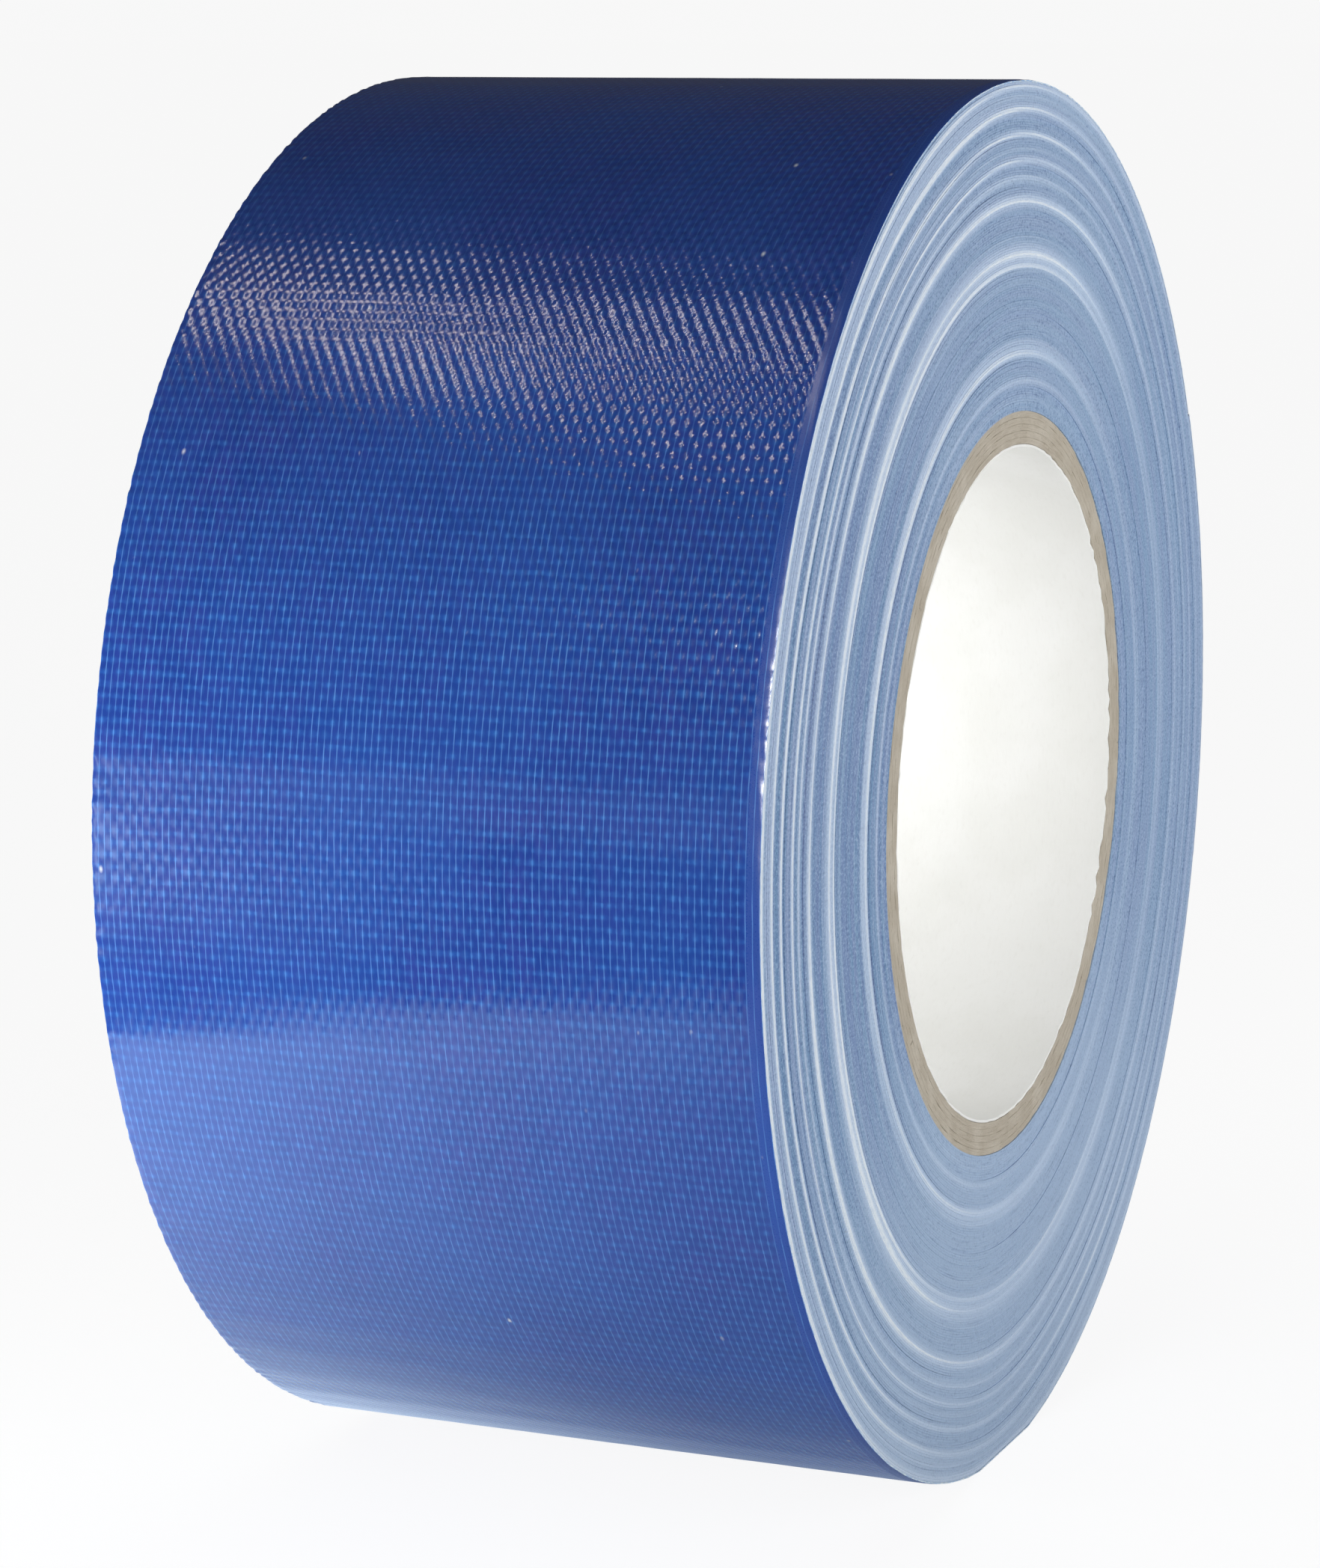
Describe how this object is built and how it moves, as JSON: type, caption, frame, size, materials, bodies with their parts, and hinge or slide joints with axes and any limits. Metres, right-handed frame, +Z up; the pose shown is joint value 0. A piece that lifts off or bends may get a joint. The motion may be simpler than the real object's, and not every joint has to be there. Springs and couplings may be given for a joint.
{
  "type": "cloth tape roll",
  "caption": "Wide roll of blue coated cloth tape wound on a spiral paper core, with a free end that lifts and curls off the roll.",
  "frame": {"origin": "centre of the core's bore, halfway along it", "axes": "+Y along the roll's axis; the roll stands on its tread with +Z up; the tape's free end is on the +X side"},
  "size_m": [0.1577, 0.0742, 0.1571],
  "materials": {
    "white_liner": "matte",
    "kraft_board": "matte",
    "tape_edge": "matte",
    "tape_face": "satin"
  },
  "bodies": {
    "roll": {"core_liner": "white_liner", "core_ply_1": "kraft_board", "core_ply_2": "kraft_board", "core_ply_3": "kraft_board", "core_ply_4": "kraft_board", "core_ply_5": "kraft_board", "tape_turns_001_010": "tape_edge", "tape_turns_011_021": "tape_edge", "tape_turns_022_040": "tape_edge", "tape_turns_041_057": "tape_edge", "tape_turns_058_081": "tape_edge", "tape_turns_082_090": "tape_edge", "tape_turns_091_099": "tape_edge", "tape_turns_100_109": "tape_edge", "tape_turns_110_118": "tape_edge", "tape_turns_119_126": "tape_edge", "tape_turns_127_132": "tape_edge", "tape_outer_turn": "tape_face"},
    "free_end_1": {"free_end_1": "tape_face"},
    "free_end_2": {"free_end_2": "tape_face"},
    "free_end_3": {"free_end_3": "tape_face"},
    "free_end_4": {"free_end_4": "tape_face"},
    "free_end_5": {"free_end_5": "tape_face"},
    "free_end_6": {"free_end_6": "tape_face"}
  },
  "joints": [
    {"name": "free_end_lift", "type": "hinge", "parent": "roll", "child": "free_end_1", "pos_m": [0.07892, 0, -0.00345], "axis": [0, 1, 0], "range_deg": [0, 18]},
    {"name": "free_end_curl_2", "type": "hinge", "parent": "free_end_1", "child": "free_end_2", "pos_m": [0.07892, 0, 0.00345], "axis": [0, 1, 0], "range_deg": [0, 18]},
    {"name": "free_end_curl_3", "type": "hinge", "parent": "free_end_2", "child": "free_end_3", "pos_m": [0.07833, 0, 0.01031], "axis": [0, 1, 0], "range_deg": [0, 18]},
    {"name": "free_end_curl_4", "type": "hinge", "parent": "free_end_3", "child": "free_end_4", "pos_m": [0.07713, 0, 0.0171], "axis": [0, 1, 0], "range_deg": [0, 18]},
    {"name": "free_end_curl_5", "type": "hinge", "parent": "free_end_4", "child": "free_end_5", "pos_m": [0.07535, 0, 0.02376], "axis": [0, 1, 0], "range_deg": [0, 18]},
    {"name": "free_end_curl_6", "type": "hinge", "parent": "free_end_5", "child": "free_end_6", "pos_m": [0.073, 0, 0.03024], "axis": [0, 1, 0], "range_deg": [0, 18]}
  ],
  "couplings": [
    {"joint": "free_end_curl_2", "follows": "free_end_lift", "ratio": 1},
    {"joint": "free_end_curl_3", "follows": "free_end_lift", "ratio": 1},
    {"joint": "free_end_curl_4", "follows": "free_end_lift", "ratio": 1},
    {"joint": "free_end_curl_5", "follows": "free_end_lift", "ratio": 1},
    {"joint": "free_end_curl_6", "follows": "free_end_lift", "ratio": 1}
  ]
}
